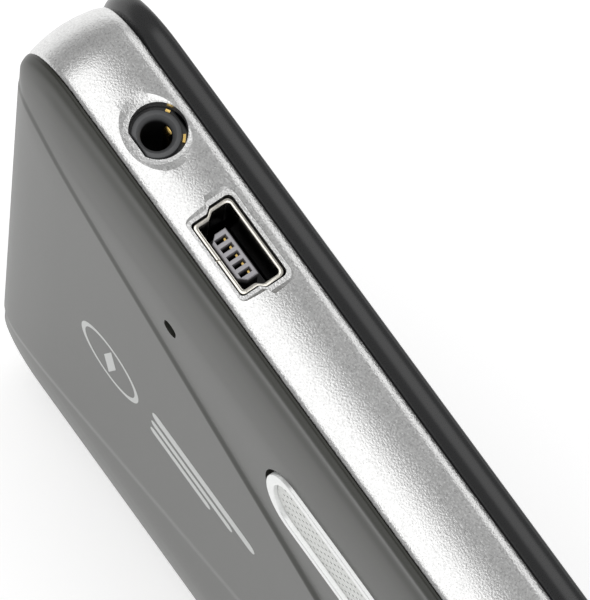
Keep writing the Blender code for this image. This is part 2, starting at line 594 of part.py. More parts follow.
# ---------------------------------------------------------------- headphone socket
jack = box("jack_body", (JACK_X - 3.0, -2.42, 71.6), (JACK_X + 3.0, 2.20, 82.5), "jack_plastic", bevel=0.15, segments=1)
join(jack, prism("jack_barrel", [d_outline(2.0, 1.65, 32, JACK_X, JACK_Y)], 81.5, JACK_FACE, 'XY', coll=cutters))
cut_cyl(jack, "jack_bore", 1.28, 12.5, (JACK_X, JACK_Y, 79.2), 'Z', 28)
boolean(jack, cone("cut_jack_lead_in", 1.28, 1.70, 0.40, (JACK_X, JACK_Y, JACK_FACE - 0.04), 'Z', 28, coll=cutters))
cut_box(jack, "jack_way_tip", (JACK_X - 0.55, -1.95, 73.4), (JACK_X + 0.55, -0.9, 81.9))
cut_box(jack, "jack_way_ring", (JACK_X - 0.55, 0.9, 73.4), (JACK_X + 0.55, 1.75, 79.5))
tip = box("jack_contact_tip", (JACK_X - 0.45, -1.75, 73.8), (JACK_X + 0.45, -1.25, 81.4), "gold", bevel=0.12, segments=1)
box("jack_contact_ring", (JACK_X - 0.45, 1.20, 73.8), (JACK_X + 0.45, 1.62, 79.0), "gold", bevel=0.12, segments=1)
prism("jack_contact_sleeve", [arc_ring(2.07, 2.33, 212, 328, 10, JACK_X, JACK_Y)], 82.56, 82.80, 'XY', "gold")

# ---------------------------------------------------------------- reset switch
rs = box("reset_switch", (RESET_X - 1.6, 3.16, RESET_Z - 1.6), (RESET_X + 1.6, 3.72, RESET_Z + 1.6), "steel",
         bevel=0.1, segments=1)
cut_cyl(rs, "reset_bore", 0.65, 1.0, (RESET_X, 3.80, RESET_Z), 'Y', 16)
rp = cone("reset_plunger", 0.5, 0.5, 0.50, (RESET_X, 3.82, RESET_Z), 'Y', 16, "black_plastic")
set_origin(rp, (RESET_X, 4.07, RESET_Z))

# ---------------------------------------------------------------- power button
cap = prism("power_button", [rounded_rect(4.5, 1.2, 1.1, 5, POWER_X, POWER_Y)], 82.0, HEIGHT + 0.25, 'XY',
            "silver_plastic")
join(cap, box("power_flange", (POWER_X - 5.4, POWER_Y - 1.7, 81.85), (POWER_X + 5.4, POWER_Y + 1.7, 82.53), coll=cutters))
set_origin(cap, (POWER_X, POWER_Y, HEIGHT + 0.25))
sw = box("power_switch", (POWER_X - 2.2, 0.20, 77.4), (POWER_X + 2.2, 2.22, 80.8), "steel", bevel=0.1, segments=1)
cut_cyl(sw, "power_bore", 0.75, 2.0, (POWER_X, 1.1, 80.9), 'Z', 16)
pp = cone("power_plunger", 0.6, 0.6, 1.40, (POWER_X, 1.1, 81.08), 'Z', 16, "black_plastic")
set_origin(pp, (POWER_X, 1.1, 81.78))

# ---------------------------------------------------------------- memory card
sock = box("card_socket", (CARD_X - 6.6, CARD_Y - 0.85, 67.6), (CARD_X + 6.6, 2.22, 81.9), "steel")
cut_box(sock, "card_way", (CARD_X - 5.7, CARD_Y - 0.55, 68.2), (CARD_X + 5.7, CARD_Y + 0.55, 83.0))
card = prism("memory_card", [[(CARD_X - 5.5, 68.6), (CARD_X + 5.5, 68.6), (CARD_X + 5.5, 83.8), (CARD_X - 4.0, 83.8),
                              (CARD_X - 4.0, 75.2), (CARD_X - 5.5, 73.7)]],
             CARD_Y - 0.42, CARD_Y + 0.42, 'XZ', "black_plastic")
set_origin(card, (CARD_X, CARD_Y, 83.8))
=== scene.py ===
import json
import math
import bpy
import bmesh
import numpy as np
from mathutils import Matrix, Vector


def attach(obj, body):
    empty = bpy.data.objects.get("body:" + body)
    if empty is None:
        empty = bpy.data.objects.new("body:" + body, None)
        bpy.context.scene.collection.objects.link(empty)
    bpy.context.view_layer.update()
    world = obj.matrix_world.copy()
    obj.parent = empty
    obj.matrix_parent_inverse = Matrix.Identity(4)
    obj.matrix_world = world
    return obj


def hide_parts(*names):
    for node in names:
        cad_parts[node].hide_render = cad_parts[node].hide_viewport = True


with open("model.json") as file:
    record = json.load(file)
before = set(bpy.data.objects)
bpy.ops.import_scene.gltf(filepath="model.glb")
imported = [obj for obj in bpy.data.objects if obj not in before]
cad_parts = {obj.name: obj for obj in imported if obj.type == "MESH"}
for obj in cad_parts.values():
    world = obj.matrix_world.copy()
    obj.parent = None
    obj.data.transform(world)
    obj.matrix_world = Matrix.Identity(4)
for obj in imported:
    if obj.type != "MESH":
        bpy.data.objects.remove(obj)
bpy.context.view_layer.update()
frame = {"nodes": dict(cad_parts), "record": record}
NODES = frame["nodes"]
MM = 0.001
scene = bpy.context.scene

# dimensions, in millimetres, the same as the solids'
HALF_X, MID_Z, HEIGHT = 67.0, 42.0, 84.0
BAND_BACK, BAND_FRONT = 3.25, -3.30
USB_X, USB_BACK, USB_FACE = 42.90, 2.13, 83.45
JACK_X, JACK_Y, JACK_FACE, HOLE_Y = 54.15, -0.04, 83.15, -0.19
RESET_X, RESET_Z = 43.57, 69.30
GRILLE_X, GRILLE_Z, GRILLE_H, GRILLE_END, GRILLE_FACE = 29.80, 66.05, 4.95, 3.2, 5.68
POWER_X, POWER_Y = -52.0, 0.25
CARD_X, CARD_Y = -37.0, 1.35


# ------------------------------------------------------------------ materials
def material(name, base, rough, metal=0.0, ior=1.5, grain=None, cloud=None, speck=None, rough_var=0.0,
             bump=0.0, coat=0.0, painted_depth_shade=None, second=None):
    """Principled finish with noise for its grain and cloudiness.

    grain and cloud are (size in mm, share by which the colour changes); bump is a height in mm
    at the grain's size; painted_depth_shade is (z low, z high, share left) in mm, painted shade that
    darkens the colour towards low z; second is (colour, half width x, half height z) for a printed border."""
    m = bpy.data.materials.new(name)
    m.use_nodes = True
    nt = m.node_tree
    b = nt.nodes["Principled BSDF"]
    b.inputs["Roughness"].default_value = rough
    b.inputs["Metallic"].default_value = metal
    b.inputs["IOR"].default_value = ior
    if coat:
        b.inputs["Coat Weight"].default_value = coat
        b.inputs["Coat Roughness"].default_value = 0.08
    tc = nt.nodes.new("ShaderNodeTexCoord")

    def noise(size, detail=2.0, rough_n=0.55):
        n = nt.nodes.new("ShaderNodeTexNoise")
        n.inputs["Scale"].default_value = 1.0 / (size * MM)
        n.inputs["Detail"].default_value = detail
        n.inputs["Roughness"].default_value = rough_n
        nt.links.new(tc.outputs["Object"], n.inputs["Vector"])
        return n.outputs["Fac"]

    def math_node(op, a, bb, clamp=False):
        n = nt.nodes.new("ShaderNodeMath")
        n.operation = op
        n.use_clamp = clamp
        for i, v in enumerate((a, bb)):
            if isinstance(v, (int, float)):
                n.inputs[i].default_value = v
            else:
                nt.links.new(v, n.inputs[i])
        return n.outputs[0]

    fine = noise(grain[0], 2.0) if grain else None
    value = None
    if grain and grain[1]:
        value = math_node('MULTIPLY_ADD', fine, 2 * grain[1])
        value.node.inputs[2].default_value = 1.0 - grain[1]
    if cloud:
        big = noise(cloud[0], 3.0, 0.6)
        v2 = math_node('MULTIPLY_ADD', big, 2 * cloud[1])
        v2.node.inputs[2].default_value = 1.0 - cloud[1]
        value = math_node('MULTIPLY', value, v2) if value else v2
    # painted shade: the colour is scaled down towards low z, so the part looks darker deeper inside its socket or bore
    if painted_depth_shade:
        sep = nt.nodes.new("ShaderNodeSeparateXYZ")
        nt.links.new(tc.outputs["Object"], sep.inputs[0])
        mr = nt.nodes.new("ShaderNodeMapRange")
        mr.inputs["From Min"].default_value = painted_depth_shade[0] * MM
        mr.inputs["From Max"].default_value = painted_depth_shade[1] * MM
        mr.inputs["To Min"].default_value = painted_depth_shade[2]
        mr.inputs["To Max"].default_value = 1.0
        nt.links.new(sep.outputs[2], mr.inputs["Value"])
        value = math_node('MULTIPLY', value, mr.outputs[0]) if value else mr.outputs[0]
    colour = None
    if second:
        sep = nt.nodes.new("ShaderNodeSeparateXYZ")
        nt.links.new(tc.outputs["Object"], sep.inputs[0])
        ax = math_node('ABSOLUTE', sep.outputs[0], 0.0)
        az = math_node('ABSOLUTE', math_node('SUBTRACT', sep.outputs[2], MID_Z * MM), 0.0)
        inside = math_node('MULTIPLY', math_node('LESS_THAN', ax, second[1] * MM), math_node('LESS_THAN', az, second[2] * MM))
        mix = nt.nodes.new("ShaderNodeMix")
        mix.data_type = 'RGBA'
        mix.inputs["A"].default_value = (*base, 1)
        mix.inputs["B"].default_value = (*second[0], 1)
        nt.links.new(inside, mix.inputs["Factor"])
        colour = mix.outputs["Result"]
    if value is not None:
        vm = nt.nodes.new("ShaderNodeVectorMath")
        vm.operation = 'SCALE'
        if colour is None:
            vm.inputs[0].default_value = base
        else:
            nt.links.new(colour, vm.inputs[0])
        nt.links.new(value, vm.inputs["Scale"])
        colour = vm.outputs[0]
    if colour is None:
        b.inputs["Base Color"].default_value = (*base, 1)
    else:
        nt.links.new(colour, b.inputs["Base Color"])
    if rough_var and fine is not None:
        mr = nt.nodes.new("ShaderNodeMapRange")
        mr.inputs["To Min"].default_value = max(rough - rough_var, 0.02)
        mr.inputs["To Max"].default_value = min(rough + rough_var, 1.0)
        nt.links.new(fine, mr.inputs["Value"])
        nt.links.new(mr.outputs[0], b.inputs["Roughness"])
    if bump and fine is not None:
        bn = nt.nodes.new("ShaderNodeBump")
        bn.inputs["Strength"].default_value = 1.0
        bn.inputs["Distance"].default_value = bump * MM
        nt.links.new(fine, bn.inputs["Height"])
        nt.links.new(bn.outputs[0], b.inputs["Normal"])
    return m


FINISH = {
    "cover_soft_touch": dict(base=(0.037, 0.038, 0.0315), rough=0.33, ior=1.36, grain=(0.11, 0.30), cloud=(9.0, 0.06),
                             rough_var=0.04, bump=0.0022),
    "band_satin": dict(base=(0.695, 0.695, 0.69), rough=0.30, metal=1.0, grain=(0.17, 0.42), cloud=(1.4, 0.06),
                       rough_var=0.08, bump=0.030),
    "bezel_plastic": dict(base=(0.0175, 0.018, 0.0185), rough=0.28, ior=1.5, grain=(0.10, 0.10), cloud=(7.0, 0.05),
                          rough_var=0.04, bump=0.0012),
    "touch_glass": dict(base=(0.006, 0.006, 0.007), rough=0.05, grain=(6.0, 0.10), rough_var=0.02,
                        second=((0.013, 0.014, 0.017), 54.6, 30.4), coat=0.5),
    "display_body": dict(base=(0.03, 0.03, 0.035), rough=0.35, grain=(0.5, 0.1)),
    "chassis_metal": dict(base=(0.60, 0.60, 0.60), rough=0.35, metal=1.0, grain=(0.3, 0.08), rough_var=0.08),
    "circuit_board": dict(base=(0.02, 0.16, 0.07), rough=0.40, grain=(1.2, 0.25), rough_var=0.08, bump=0.01),
    "shield_metal": dict(base=(0.62, 0.62, 0.60), rough=0.32, metal=1.0, grain=(0.4, 0.08), rough_var=0.08),
    "chip_resin": dict(base=(0.025, 0.025, 0.027), rough=0.6, grain=(0.08, 0.2), bump=0.003),
    "connector_white": dict(base=(0.70, 0.69, 0.64), rough=0.45, grain=(0.3, 0.04)),
    "flex_film": dict(base=(0.55, 0.27, 0.04), rough=0.3, grain=(0.8, 0.12), coat=0.3),
    "battery_pouch": dict(base=(0.62, 0.63, 0.64), rough=0.35, metal=0.8, grain=(1.5, 0.06), bump=0.02),
    "foam": dict(base=(0.03, 0.03, 0.03), rough=0.95, grain=(0.25, 0.3), bump=0.03),
    "lead_red": dict(base=(0.50, 0.02, 0.015), rough=0.42, grain=(0.5, 0.08)),
    "lead_black": dict(base=(0.02, 0.02, 0.02), rough=0.42, grain=(0.5, 0.1)),
    "patch_ceramic": dict(base=(0.55, 0.50, 0.42), rough=0.5, grain=(0.4, 0.1), bump=0.004),
    "brass_plug": dict(base=(0.72, 0.55, 0.25), rough=0.3, metal=1.0, grain=(0.3, 0.08)),
    "speaker_basket": dict(base=(0.02, 0.02, 0.02), rough=0.5, grain=(0.15, 0.15), bump=0.003),
    "cone_paper": dict(base=(0.03, 0.03, 0.03), rough=0.85, grain=(0.3, 0.25), bump=0.01),
    "coil_copper": dict(base=(0.70, 0.33, 0.18), rough=0.35, metal=1.0, grain=(0.2, 0.12)),
    "magnet": dict(base=(0.35, 0.35, 0.36), rough=0.3, metal=1.0, grain=(0.4, 0.08)),
    "yoke_steel": dict(base=(0.50, 0.50, 0.50), rough=0.35, metal=1.0, grain=(0.3, 0.08)),
    "grille_silver": dict(base=(0.90, 0.91, 0.90), rough=0.34, metal=0.45, grain=(0.12, 0.04), rough_var=0.04, bump=0.001),
    "grille_mesh_metal": dict(base=(0.68, 0.69, 0.67), rough=0.46, metal=0.5, grain=(0.10, 0.08), rough_var=0.05),
    # painted shade: the data socket's shell and insulator get darker deeper inside the socket
    "usb_nickel": dict(base=(0.76, 0.73, 0.66), rough=0.20, metal=1.0, grain=(0.15, 0.08), rough_var=0.06, bump=0.002,
                       painted_depth_shade=(81.6, 83.2, 0.03)),
    "usb_insulator": dict(base=(0.52, 0.51, 0.54), rough=0.45, grain=(0.12, 0.08), bump=0.002, painted_depth_shade=(80.7, 81.75, 0.05)),
    "gold_contact": dict(base=(0.86, 0.60, 0.20), rough=0.22, metal=1.0, grain=(0.15, 0.10)),
    # painted shade: the headphone socket body gets darker deeper inside the bore
    "jack_plastic": dict(base=(0.105, 0.107, 0.11), rough=0.40, grain=(0.12, 0.12), bump=0.003, painted_depth_shade=(82.3, 83.0, 0.06)),
    "plunger_black": dict(base=(0.02, 0.02, 0.02), rough=0.5, grain=(0.12, 0.1)),
    "button_silver": dict(base=(0.78, 0.79, 0.78), rough=0.30, metal=0.7, grain=(0.2, 0.06), rough_var=0.05, bump=0.003),
    "card_black": dict(base=(0.02, 0.02, 0.022), rough=0.45, grain=(0.12, 0.12), bump=0.003),
    "screw_steel": dict(base=(0.40, 0.40, 0.40), rough=0.3, metal=1.0, grain=(0.2, 0.1), rough_var=0.08),
    "print_ink": dict(base=(0.60, 0.61, 0.60), rough=0.5, grain=(0.12, 0.08), rough_var=0.05),
}
MATS = {k: material(k, **v) for k, v in FINISH.items()}

SLOT = {s["node"]: s["material_slot"] for s in frame["record"]["subparts"]}
for node, obj in NODES.items():
    obj.data.materials.clear()
    obj.data.materials.append(MATS[SLOT[node]])


# ------------------------------------------------------------------ mesh helpers
def new_object(name, verts, faces, weld=1e-7):
    mesh = bpy.data.meshes.new(name)
    mesh.from_pydata([tuple(np.array(v) * MM) for v in verts], [], [tuple(f) for f in faces])
    bm = bmesh.new()
    bm.from_mesh(mesh)
    bmesh.ops.remove_doubles(bm, verts=bm.verts, dist=weld)
    bmesh.ops.recalc_face_normals(bm, faces=bm.faces)
    bm.to_mesh(mesh)
    bm.free()
    obj = bpy.data.objects.new(name, mesh)
    scene.collection.objects.link(obj)
    return obj


def finish_piece(obj, slot, body="case", node=None, angle=30):
    obj.data.shade_smooth()
    obj.data.set_sharp_from_angle(angle=math.radians(angle))
    obj.data.materials.clear()
    obj.data.materials.append(MATS[slot])
    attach(obj, body)
    if node:
        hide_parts(*([node] if isinstance(node, str) else node))
    return obj


def bake(obj):
    """Keep the evaluated mesh and drop the modifiers."""
    bpy.context.view_layer.update()
    dg = bpy.context.evaluated_depsgraph_get()
    mesh = bpy.data.meshes.new_from_object(obj.evaluated_get(dg))
    obj.modifiers.clear()
    old = obj.data
    obj.data = mesh
    bpy.data.meshes.remove(old)
    return obj


def boolean(obj, others, operation='DIFFERENCE', solver='EXACT'):
    for other in others:
        mod = obj.modifiers.new("cut", 'BOOLEAN')
        mod.operation = operation
        mod.solver = solver
        mod.object = other
    bake(obj)
    for other in others:
        bpy.data.objects.remove(other, do_unlink=True)
    return obj


def bevel(obj, width, segments=2, angle=40):
    mod = obj.modifiers.new("edge", 'BEVEL')
    mod.width = width * MM
    mod.segments = segments
    mod.limit_method = 'ANGLE'
    mod.angle_limit = math.radians(angle)
    mod.use_clamp_overlap = True
    return bake(obj)


def ring_faces(n, k0, k1):
    return [(k0 + i, k0 + (i + 1) % n, k1 + (i + 1) % n, k1 + i) for i in range(n)]


def loft(name, rings, closed=False, caps=True):
    """Skin over rings with the same number of points."""
    n = len(rings[0])
    verts = [p for r in rings for p in r]
    faces = []
    for k in range(len(rings) - 1):
        faces += ring_faces(n, k * n, (k + 1) * n)
    if closed:
        faces += ring_faces(n, (len(rings) - 1) * n, 0)
    elif caps:
        faces += [tuple(range(n)), tuple(range((len(rings) - 1) * n, len(rings) * n))]
    return new_object(name, verts, faces)


def revolve(name, profile, cx, cy, seg=64, axis='Z'):
    """Closed turned body: profile is (radius, height) from axis to axis."""
    rings = []
    for r, z in profile:
        r = max(r, 1e-4)
        ring = []
        for i in range(seg):
            a = 2 * math.pi * i / seg
            if axis == 'Z':
                ring.append((cx + r * math.cos(a), cy + r * math.sin(a), z))
            else:
                ring.append((cx + r * math.cos(a), z, cy + r * math.sin(a)))
        rings.append(ring)
    return loft(name, rings)


def block(name, lo, hi):
    x0, y0, z0 = lo
    x1, y1, z1 = hi
    return loft(name, [[(x0, y0, z), (x1, y0, z), (x1, y1, z), (x0, y1, z)] for z in (z0, z1)])


def oval_slot(hx, hy, end, n=16, cx=0.0, cy=0.0, run=1):
    pts = []
    for side in (1, -1):
        arc = []
        for i in range(n + 1):
            a = math.radians(-90 + 180.0 * i / n)
            arc.append((cx + side * (hx - end + end * math.cos(a)), cy + side * hy * math.sin(a)))
        nxt = (cx - side * (hx - end), arc[-1][1])
        pts += arc
        for k in range(1, run):
            t = k / run
            pts.append((arc[-1][0] + (nxt[0] - arc[-1][0]) * t, arc[-1][1]))
    return pts


def rounded_rect(hx, hy, r, n=8, cx=0.0, cy=0.0):
    pts = []
    for qx, qy, a0 in ((1, 1, 0), (-1, 1, 90), (-1, -1, 180), (1, -1, 270)):
        for i in range(n + 1):
            a = math.radians(a0 + 90.0 * i / n)
            pts.append((cx + qx * (hx - r) + r * math.cos(a), cy + qy * (hy - r) + r * math.sin(a)))
    return pts


def rim_path(hx, hz, r, step=1.5, n=16):
    """Points and outward normals around a rounded rectangle centred on z = MID_Z."""
    out = []
    for qx, qz, a0 in ((1, 1, 0), (-1, 1, 90), (-1, -1, 180), (1, -1, 270)):
        cx, cz = qx * (hx - r), MID_Z + qz * (hz - r)
        for i in range(n + 1):
            a = math.radians(a0 + 90.0 * i / n)
            out.append((cx + r * math.cos(a), cz + r * math.sin(a), math.cos(a), math.sin(a)))
        px, pz, nx, nz = out[-1]
        length = 2 * ((hx - r) if a0 in (0, 180) else (hz - r))
        k = max(int(length / step), 1)
        dx, dz = -nz, nx
        for j in range(1, k):
            out.append((px + dx * length * j / k, pz + dz * length * j / k, nx, nz))
    return out


def sweep(name, section, hx=HALF_X, hz=MID_Z, r=6.45, step=1.5, n=16):
    """Closed section of (depth below the crown, y) swept around the rim."""
    path = rim_path(hx, hz, r, step, n)
    rings = [[(px - nx * d, y, pz - nz * d) for px, pz, nx, nz in path] for d, y in section]
    return loft(name, rings, closed=True)


def d_outline(r, flat, n=56, cx=0.0, cy=0.0):
    a = math.asin(min(flat / r, 1.0))
    return [(cx + r * math.cos(math.pi - a + (math.pi + 2 * a) * i / n),
             cy + r * math.sin(math.pi - a + (math.pi + 2 * a) * i / n)) for i in range(n + 1)]


def mini_b(n, w, y0, y1, ym1, ym2, r=0.35, c=0.5):
    """Data socket outline: half widths n (narrow, towards +Y) and w (wide)."""
    half = [(n - r, y0), (n - 0.62 * r, y0 - 0.08 * r), (n - 0.29 * r, y0 - 0.29 * r), (n - 0.08 * r, y0 - 0.62 * r), (n, y0 - r),
            (n, ym1), (n + 0.10 * (w - n), ym1 - 0.10), (w - 0.10 * (w - n), ym2 + 0.10), (w, ym2),
            (w, y1 + c), (w - 0.08 * c, y1 + 0.62 * c), (w - 0.29 * c, y1 + 0.29 * c), (w - 0.62 * c, y1 + 0.08 * c), (w - c, y1)]
    return ([(USB_X + a, b) for a, b in half] + [(USB_X - a, b) for a, b in reversed(half)])[::-1]


def shell_outline(grow, r=0.35, c=0.5):
    return mini_b(3.42 + grow, 3.85 + grow, USB_BACK + grow, USB_BACK - 3.9 - grow, USB_BACK - 1.45 - 0.2 * grow,
                  USB_BACK - 2.05 - 0.1 * grow, r, c)


def flat_z(outline, z):
    return [(x, y, z) for x, y in outline]


def flat_y(outline, y):
    return [(x, y, z) for x, z in outline]


def prism(name, outlines, lo, hi, plane='XZ'):
    cu = bpy.data.curves.new(name, 'CURVE')
    cu.dimensions = '2D'
    cu.fill_mode = 'BOTH'
    cu.extrude = (hi - lo) / 2 * MM
    for pts in outlines:
        sp = cu.splines.new('POLY')
        sp.points.add(len(pts) - 1)
        for p, q in zip(sp.points, pts):
            p.co = (q[0] * MM, q[1] * MM, 0.0, 1.0)
        sp.use_cyclic_u = True
    tmp = bpy.data.objects.new(name + "_curve", cu)
    scene.collection.objects.link(tmp)
    if plane == 'XZ':
        tmp.rotation_euler = (math.pi / 2, 0, 0)
        tmp.location = (0, (lo + hi) / 2 * MM, 0)
    else:
        tmp.location = (0, 0, (lo + hi) / 2 * MM)
    bpy.context.view_layer.update()
    mesh = bpy.data.meshes.new_from_object(tmp.evaluated_get(bpy.context.evaluated_depsgraph_get()))
    mesh.transform(tmp.matrix_world)
    bpy.data.objects.remove(tmp, do_unlink=True)
    bm = bmesh.new()
    bm.from_mesh(mesh)
    bmesh.ops.remove_doubles(bm, verts=bm.verts, dist=1e-7)
    bmesh.ops.dissolve_limit(bm, angle_limit=math.radians(0.5), verts=bm.verts, edges=bm.edges)
    bmesh.ops.recalc_face_normals(bm, faces=bm.faces)
    bm.to_mesh(mesh)
    bm.free()
    obj = bpy.data.objects.new(name, mesh)
    scene.collection.objects.link(obj)
    return obj


def smooth_curve(xk, yk, x):
    """Monotone cubic through the points (xk, yk)."""
    xk, yk = np.asarray(xk, float), np.asarray(yk, float)
    h = np.diff(xk)
    d = np.diff(yk) / h
    m = np.zeros_like(yk)
    s = d[:-1] + d[1:]
    ok = d[:-1] * d[1:] > 0
    m[1:-1] = np.where(ok, 2 * d[:-1] * d[1:] / np.where(ok, s, 1.0), 0.0)
    m[0], m[-1] = d[0], d[-1]
    i = np.clip(np.searchsorted(xk, x, side='right') - 1, 0, len(h) - 1)
    t = (x - xk[i]) / h[i]
    return ((2 * t ** 3 - 3 * t ** 2 + 1) * yk[i] + (t ** 3 - 2 * t ** 2 + t) * h[i] * m[i]
            + (-2 * t ** 3 + 3 * t ** 2) * yk[i + 1] + (t ** 3 - t ** 2) * h[i] * m[i + 1])


def ease(t):
    t = np.clip(t, 0.0, 1.0)
    return t * t * (3 - 2 * t)


# ------------------------------------------------------------------ back cover
# The edge rolls over quickly at the short ends and slowly at the long edges. Each
# column is the height above the band and the inset there along X and along Z.
RING_H = [0.36, 0.46, 0.55, 0.62, 0.70, 0.82, 1.03, 1.27, 1.50, 1.67, 1.87, 1.97, 2.175, 2.29, 2.375, 2.43, 2.45]
RING_X = [0.50, 0.505, 0.515, 0.52, 0.535, 0.56, 0.63, 0.79, 1.09, 1.46, 2.03, 2.40, 3.55, 4.7, 6.0, 7.2, 8.4]
RING_Z = [0.50, 0.505, 0.53, 0.60, 0.75, 1.00, 1.40, 2.00, 2.85, 3.60, 5.00, 5.85, 8.0, 9.6, 11.0, 13.2, 15.5]


def top_crease(x):
    a = np.abs(x)
    return 42.29 + 0.495 * a + 0.0010 * np.clip(a - 46, 0, 30) ** 2 - 0.06 * np.clip(a - 61.5, 0, 9) ** 2


def low_crease(x):
    return 36.8 - 0.396 * np.abs(x)


def cover_height(x, z):
    x, z = np.asarray(x, float), np.asarray(z, float)
    k = np.arange(len(RING_H), dtype=float)
    lo, hi = np.zeros_like(x), np.full_like(x, k[-1])

    def outside(t):
        ix, iz = smooth_curve(k, RING_X, t), smooth_curve(k, RING_Z, t)
        r = np.maximum(6.5 - 0.5 * (ix + iz), 4.8)
        qx, qz = np.abs(x) - (HALF_X - ix - r), np.abs(z - MID_Z) - (MID_Z - iz - r)
        return np.hypot(np.maximum(qx, 0), np.maximum(qz, 0)) + np.minimum(np.maximum(qx, qz), 0) - r

    flat = outside(hi) <= 0
    for _ in range(34):
        mid = (lo + hi) / 2
        out = outside(mid) > 0
        hi = np.where(out, mid, hi)
        lo = np.where(out, lo, mid)
    h = np.where(flat, RING_H[-1], smooth_curve(k, RING_H, (lo + hi) / 2))
    fade = ease((h - 0.95) / 0.5)
    step_up = np.clip(0.10 + 0.20 * (65 - np.abs(x)) / 40, 0.10, 0.32)
    h = h - fade * step_up * ease((z - top_crease(x)) / 1.096 / 1.15 + 0.5)
    h = h - fade * 0.31 * ease((low_crease(x) - z) / 1.075 / 3.2 + 0.5)
    return h


def cover_surface():
    inset = np.array([6.5, 6.0, 5.5, 5.0, 4.5, 4.05, 3.6, 3.2, 2.85, 2.5, 2.2, 1.95, 1.7, 1.5, 1.32, 1.18, 1.06, 0.96, 0.88,
                      0.81, 0.75, 0.70, 0.65, 0.61, 0.58, 0.555, 0.53, 0.515, 0.505, 0.50])
    grid = {}
    pts, ins, dirs, faces = [], [], [], []

    def vid(x, z, s, dx, dz):
        key = (round(x, 4), round(z, 4))
        if key not in grid:
            grid[key] = len(pts)
            pts.append((x, z))
            ins.append(s)
            dirs.append((dx, dz))
        return grid[key]

    def quads(table):
        for a, b in zip(table, table[1:]):
            for i in range(len(a) - 1):
                f = [a[i], a[i + 1], b[i + 1], b[i]]
                f = [v for j, v in enumerate(f) if v != f[j - 1]]
                if len(f) > 2:
                    faces.append(f)

    inner = np.linspace(-60.5, 60.5, 111)
    cols = [(-(HALF_X - s), s, -1) for s in inset[::-1]] + [(x, 99.0, 0) for x in inner[1:-1]] + [(HALF_X - s, s, 1) for s in inset]
    table = []
    for x, s, d in cols:
        zt, zl = float(top_crease(x)), float(low_crease(x))
        knots = [6.5, zl - 1.9, zl + 1.9, zt - 0.9, zt + 0.9, 77.5]
        zs = []
        for (a, b), n in zip(zip(knots, knots[1:]), (18, 14, 22, 16, 24)):
            zs += [a + (b - a) * j / n for j in range(n)]
        zs.append(77.5)
        table.append([vid(x, z, s, d, 0) for z in zs])
    quads(table)
    for zc, sz in ((77.5, 1), (6.5, -1)):
        quads([[vid(x, zc + sz * (6.5 - s), s if s < 6.5 else 99.0, 0, sz) for s in inset] for x in inner])
        for sx in (1, -1):
            quads([[vid(sx * 60.5 + (6.5 - s) * math.cos(a) * sx, zc + (6.5 - s) * math.sin(a) * sz, s, math.cos(a) * sx, math.sin(a) * sz)
                    for s in inset] for a in np.linspace(0, math.pi / 2, 19)])
    p, s, d = np.array(pts), np.array(ins), np.array(dirs)
    top = np.stack([p[:, 0], BAND_BACK + cover_height(p[:, 0], p[:, 1]), p[:, 1]], 1)
    move = np.clip(1.55 - s, 0, None)
    q = p - d * move[:, None]
    roof = cover_height(q[:, 0], q[:, 1]) - 1.05
    wall = np.clip((s - 0.5) / 1.05, 0, 1)
    under = np.stack([q[:, 0], BAND_BACK + 0.36 + (np.maximum(roof, 0.40) - 0.36) * wall, q[:, 1]], 1)
    n = len(pts)
    count = {}
    for f in faces:
        for a, b in zip(f, f[1:] + f[:1]):
            count[(min(a, b), max(a, b))] = count.get((min(a, b), max(a, b)), 0) + 1
    allfaces = [tuple(f) for f in faces] + [tuple(v + n for v in reversed(f)) for f in faces]
    allfaces += [(b, a, a + n, b + n) for (a, b), c in count.items() if c == 1]
    verts = np.vstack([top, under])
    return new_object("cover_skin", verts, allfaces, weld=1e-9)


cover = cover_surface()
cover = boolean(cover, [
    prism("cut_a", [oval_slot(GRILLE_X + 0.42, GRILLE_H + 0.08, GRILLE_END + 0.30, 20, 0, GRILLE_Z)], 2.0, 8.0),
    loft("cut_b", [flat_y([(RESET_X + 0.78 * math.cos(2 * math.pi * k / 40),
                            RESET_Z + math.copysign(0.24, math.sin(2 * math.pi * (k + 0.5) / 40)) + 0.80 * math.sin(2 * math.pi * k / 40))
                           for k in range(40)], y) for y in (2.0, 8.0)])])
finish_piece(cover, "cover_soft_touch", node="back_cover", angle=32)


# ------------------------------------------------------------------ metal band
def band_section():
    pts = [(1.00, BAND_BACK + 0.32), (0.74, BAND_BACK + 0.32), (0.60, BAND_BACK + 0.28), (0.50, BAND_BACK + 0.18), (0.43, BAND_BACK + 0.07)]
    for y in np.linspace(0.0, 5.90, 30):
        pts.append((0.042 * (y - 3.05) ** 2, BAND_BACK - y))
    pts += [(0.36, -2.72), (0.62, -3.36), (0.68, -3.42), (1.35, -3.42), (1.35, BAND_BACK + 0.32)]
    return pts


def dish():
    prof = [(0, 83.72), (2.66, 83.72), (2.71, 83.73), (3.32, 83.965), (3.40, 83.99), (3.52, 84.02), (3.60, 85.0), (0, 85.0)]
    obj = revolve("cut_dish", prof, JACK_X, 0.0, 96)
    for v in obj.data.vertices:                       # the dish stops short of the front chamfer
        v.co.y = max(v.co.y, -2.655 * MM)
    return obj


def usb_recess():
    low = mini_b(3.86, 4.40, 2.50, -2.22, 0.55, 0.10, 0.4, 0.65)
    mid = mini_b(4.10, 4.74, 2.58, -2.42, 0.42, -0.02, 0.5, 0.8)
    top = mini_b(4.20, 4.84, 2.62, -2.50, 0.40, -0.04, 0.55, 0.85)
    return loft("cut_usb", [flat_z(low, 83.68), flat_z(mid, 83.92), flat_z(top, 84.01), flat_z(top, 85.0)])


